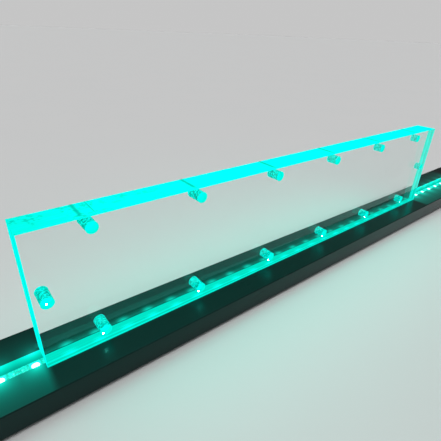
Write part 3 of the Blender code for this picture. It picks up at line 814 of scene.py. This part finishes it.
nickel = Finish("nickel", metallic=1.0)
tarnish = nickel.noise(1200.0, detail=2.0)
nickel.set("base_color", nickel.mix(tarnish, (0.55, 0.52, 0.47), (0.70, 0.67, 0.62)))
nickel.set("roughness", tarnish * 0.2 + 0.18)
give(nickel, "socket_nut")

rubber = Finish("rubber", specular_ior_level=0.3)
pores = rubber.noise(1800.0, detail=2.0)
rubber.set("base_color", rubber.mix(pores, (0.012, 0.012, 0.012), (0.03, 0.03, 0.03)))
rubber.set("roughness", pores * 0.15 + 0.75)
rubber.bump(pores, 0.00005)
give(rubber, *[name for name in nodes if name.startswith("foot")])

for name, dark, light in (
    ("lead_plus", (0.42, 0.012, 0.010), (0.55, 0.025, 0.018)),
    ("lead_minus", (0.012, 0.012, 0.012), (0.025, 0.025, 0.026)),
):
    insulation = Finish(name + "_insulation", roughness=0.38)
    streaks = insulation.noise(900.0, detail=2.0)
    insulation.set("base_color", insulation.mix(streaks, dark, light))
    give(insulation, name)

foam = Finish("adhesive_foam", roughness=0.85)
cells = foam.noise(3000.0, detail=1.0)
foam.set("base_color", foam.mix(cells, (0.62, 0.56, 0.45), (0.75, 0.70, 0.60)))
give(foam, "tape_adhesive")

# %% Tape and LEDs
board = Finish("tape_board", roughness=0.35)
x, _, _ = board.place()
from_led = board.repeat(x, led_centres[0, 0], led_pitch)
# Painted light: the tape glows as if lit by its LEDs, more round each LED, with bright specks, and darker
# just beside each LED.
halo = board.line(from_led, 0.0, 0.0080)
solder_mask = board.noise(1600.0, detail=2.0)
specks = board.ramp(board.noise(1300.0, detail=2.0, roughness=0.7), 0.50, 0.60)
beside_led = board.line(from_led, 0.0033, 0.0011)
board.set("base_color", board.mix(solder_mask, (0.02, 0.22, 0.18), (0.04, 0.32, 0.27)))
glow_at(board, halo * 0.16 + 0.50 + (solder_mask - 0.5) * 0.6 + specks * 0.34 - beside_led * 0.30)
board.bump(solder_mask, 0.00003)
give(board, "led_tape")

package = Finish("led_package", roughness=0.4, base_color=(0.04, 0.28, 0.24))
_, _, z = package.place()
moulding = package.noise(1500.0, detail=1.0)
# Painted light: each package glows, dim on its sides and bright towards its top.
up_side = package.ramp(z, tape_high.z, led_top, 0.25, 0.92)
glow_at(package, (moulding - 0.5) * 0.2 + up_side)
give(package, *led_names)

# %% [markdown]
# ## What is soldered on the tape
# Each LED's window is filled with a drop of clear silicone, which is what looks white hot. Its legs are six
# short tabs. Between the LEDs lie a resistor and a pair of copper pads, and all of it is lit from the side.
# The drop is a shallow dome. The other pieces are small boxes whose upper edges are drawn in, so that they
# catch the light as moulded ones.

# %% Shapes of the small parts
def dome(centre, radius, rise, squareness=2.0, rings=4, around=16):
    """A shallow cap whose height falls from the middle as one minus the square of the distance, down to
    the rim. The rim is where |x| and |y|, each over the radius and to the power of the squareness, add up
    to 1: a circle at 2, and closer to a square above it."""
    out = np.linspace(1, 0, rings)[:, None]
    turn = np.linspace(0, 2 * pi, around, endpoint=False)[None, :]
    c, s = np.cos(turn), np.sin(turn)
    reach = radius / (np.abs(c) ** squareness + np.abs(s) ** squareness) ** (1 / squareness)
    cap = np.stack([out * reach * c, out * reach * s, rise * (1 - out**2) + 0 * turn], axis=-1)
    base = cap[::-1] * (1, 1, 0)
    return grid(np.array(centre) + np.concatenate([base[:-1], cap]), wrap=True)


def small_box(low, high, draw):
    """A closed box whose top is drawn in on each side: four rings, shrunk to a point below and above."""
    low, high = np.array(low), np.array(high)
    middle = (low + high) / 2
    half = (high - low) / 2
    corners = np.array([(-1, -1), (1, -1), (1, 1), (-1, 1)])
    rings = [
        (corners * 0, low[2]),
        (corners * half[:2], low[2]),
        (corners * half[:2], high[2] - draw),
        (corners * (half[:2] - draw), high[2]),
        (corners * 0, high[2]),
    ]
    loops = [np.insert(ring + middle[:2], 2, z, axis=-1) for ring, z in rings]
    return grid(np.array(loops), wrap=True)


# %% Lenses, legs, resistors and pads
LENS_RADIUS = 0.00230
LENS_RISE = 0.00025
LENS_RIM = 0.0004  # where its white turns to cyan
LENS_STRENGTH = 2.0
LENS_SQUARENESS = 5.0
WINDOW_DEPTH = 0.0002
LENS_GAP = 0.00002

tape_top = tape_high.z
window_floor = led_top - WINDOW_DEPTH
hot_lens = Finish("lit_silicone", base_color=(0.9, 1.0, 0.97), roughness=0.15)
x, y, _ = hot_lens.place()
across = y - led_centres[0, 1]
along = hot_lens.repeat(x, led_centres[0, 0], led_pitch)
from_middle = hot_lens.maths("MAXIMUM", along, abs(across))
at_rim = hot_lens.ramp(from_middle, LENS_RADIUS - LENS_RIM, LENS_RADIUS)
hot_lens.set("emission_color", hot_lens.mix(at_rim, (0.75, 1.0, 1.0), (0.30, 1.0, 0.85)))
hot_lens.set("emission_strength", LENS_STRENGTH)
lenses = []
for centre in led_centres:
    place = (*centre[:2], window_floor + LENS_GAP)
    lenses.append(dome(place, LENS_RADIUS, LENS_RISE, squareness=LENS_SQUARENESS, around=24))
add_piece("led_lenses", join(lenses), [hot_lens], "batten")

LEG_OUT = 0.0006
LEG_WIDTH = 0.0009
LEG_PITCH = 0.0016
LEG_HEIGHT = 0.00045
LEG_DRAW = 0.00015
LEG_GAP = 0.00005
PAD_GAP = 0.00002
tinned = Finish("tinned_copper", metallic=0.6, base_color=(0.30, 0.42, 0.38))
tin_grain = tinned.noise(2600.0, detail=1.0)
tinned.set("roughness", tin_grain * 0.25 + 0.2)
glow_at(tinned, tin_grain * 0.8 + 0.30)
led_half = (led_boxes[0][1].x - led_boxes[0][0].x) / 2
legs = []
for centre in led_centres:
    for side in (-1, 1):
        for place in (-1, 0, 1):
            root = centre[1] + side * (led_half + LEG_GAP)
            tip = centre[1] + side * (led_half + LEG_OUT)
            y0, y1 = sorted([root, tip])
            x0 = centre[0] + place * LEG_PITCH - LEG_WIDTH / 2
            low = (x0, y0, tape_top + PAD_GAP)
            legs.append(small_box(low, (x0 + LEG_WIDTH, y1, tape_top + LEG_HEIGHT), LEG_DRAW))
add_piece("led_legs", join(legs), [tinned], "batten")

LEDS_TO_A_CUT = 3  # the tape can be cut after every third LED
CUT_PAD_PITCH = 0.0022
CUT_PAD_LONG = 0.0019
CUT_PAD_WIDE = 0.0016
CHIP_PITCH = 0.0024
CHIP_HALF_LONG = 0.0016
CHIP_HALF_WIDE = 0.0006
CHIP_HEIGHT = 0.00055

chips, pads = [], []
between = (led_centres[:-1] + led_centres[1:]) / 2
for number, (px, py, _) in enumerate(between):
    cut_here = number % LEDS_TO_A_CUT == LEDS_TO_A_CUT - 1
    if cut_here:
        for place in (-1.5, -0.5, 0.5, 1.5):
            y0 = py + place * CUT_PAD_PITCH - CUT_PAD_WIDE / 2
            for x0 in (px - 0.0023, px + 0.0004):
                low = (x0, y0, tape_top + PAD_GAP)
                high = (x0 + CUT_PAD_LONG, y0 + CUT_PAD_WIDE, tape_top + 0.0002)
                pads.append(small_box(low, high, 0.00005))
    else:
        for dy in (-CHIP_PITCH, 0.0, CHIP_PITCH):
            low = (px - CHIP_HALF_LONG, py + dy - CHIP_HALF_WIDE, tape_top + PAD_GAP)
            high = (px + CHIP_HALF_LONG, py + dy + CHIP_HALF_WIDE, tape_top + CHIP_HEIGHT)
            chips.append(small_box(low, high, 0.0001))
            for end in (-1, 1):
                x0 = px + end * 0.0021 - 0.0004
                fillet = (x0 + 0.0008, low[1] + 2 * CHIP_HALF_WIDE, tape_top + 0.0004)
                pads.append(small_box((x0, low[1], tape_top + PAD_GAP), fillet, 0.0002))
add_piece("solder_pads", join(pads), [tinned], "batten")

ceramic = Finish("chip_ceramic", roughness=0.35, base_color=(0.02, 0.03, 0.03))
chip_grain = ceramic.noise(1800.0, detail=1.0)
glow_at(ceramic, chip_grain * 0.6 + 0.30)
add_piece("resistors", join(chips), [ceramic], "batten")

# %% [markdown]
# ## Solder and contacts
# Each lead ends under a mound of solder on the tape's last pads, and lies in it for its last millimetre.
# The power socket is a plastic barrel, so its two contacts are separate metal: a round-nosed cap on the
# middle pin, and a thin sprung sleeve that lines the barrel. Both are turned shapes, a profile carried
# round the socket's axis.

# %% Solder mounds and socket contacts
LEAD_SPREAD = 0.0010
SOLDER_RADIUS = 0.00095
SOLDER_RISE = 0.0014
SOLDER_INSET = 0.0014  # from the tape's end
NOSE_STEPS = 6
SOCKET_BORE_RADIUS = 0.0028
SOCKET_BORE_DEPTH = 0.0090
PIN_RADIUS = 0.0010
PIN_SETBACK = 0.0010
NOSE_TIP = -0.0004  # from the socket's mouth
NOSE_ROUND = 0.0004
PLATE = 0.00015
CONTACT_GAP = 0.00003


def turned(profile, centre, around=32):
    """A profile of distances along X and out from it, carried round an axis along X through the centre."""
    along, out = np.array(profile).T[:, :, None]
    turn = np.linspace(0, 2 * pi, around, endpoint=False)[None, :]
    ring = np.stack([along + 0 * turn, out * np.cos(turn), out * np.sin(turn)], axis=-1)
    return grid(np.array(centre) + ring, wrap=True)


mounds = []
for side in (-1, 1):
    place = (tape_high.x - SOLDER_INSET, groove_middle + side * LEAD_SPREAD, tape_top + PAD_GAP)
    mounds.append(dome(place, SOLDER_RADIUS, SOLDER_RISE))
add_piece("lead_solder", join(mounds), [nickel], "batten")

socket_low, socket_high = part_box("power_socket")
mouth = (socket_high.x, (socket_low.y + socket_high.y) / 2, (socket_low.z + socket_high.z) / 2)
foot = CONTACT_GAP - SOCKET_BORE_DEPTH
inner = PIN_RADIUS + CONTACT_GAP
outer = inner + PLATE
pin_tip = CONTACT_GAP - PIN_SETBACK
slants = np.linspace(0, pi / 2, NOSE_STEPS)
pin_cap = [(NOSE_TIP + NOSE_ROUND * (cos(a) - 1), outer * sin(a)) for a in slants]
pin_cap += [(foot, outer), (foot, inner), (pin_tip, inner), (pin_tip, 0.0)]
wide = SOCKET_BORE_RADIUS - CONTACT_GAP
thin = wide - PLATE
sleeve = [(foot, wide), (foot, thin), (-PLATE, thin), (-PLATE, wide), (foot, wide)]
contacts = join([flipped(turned(pin_cap, mouth)), flipped(turned(sleeve, mouth))])
add_piece("socket_contacts", contacts, [nickel], "batten")
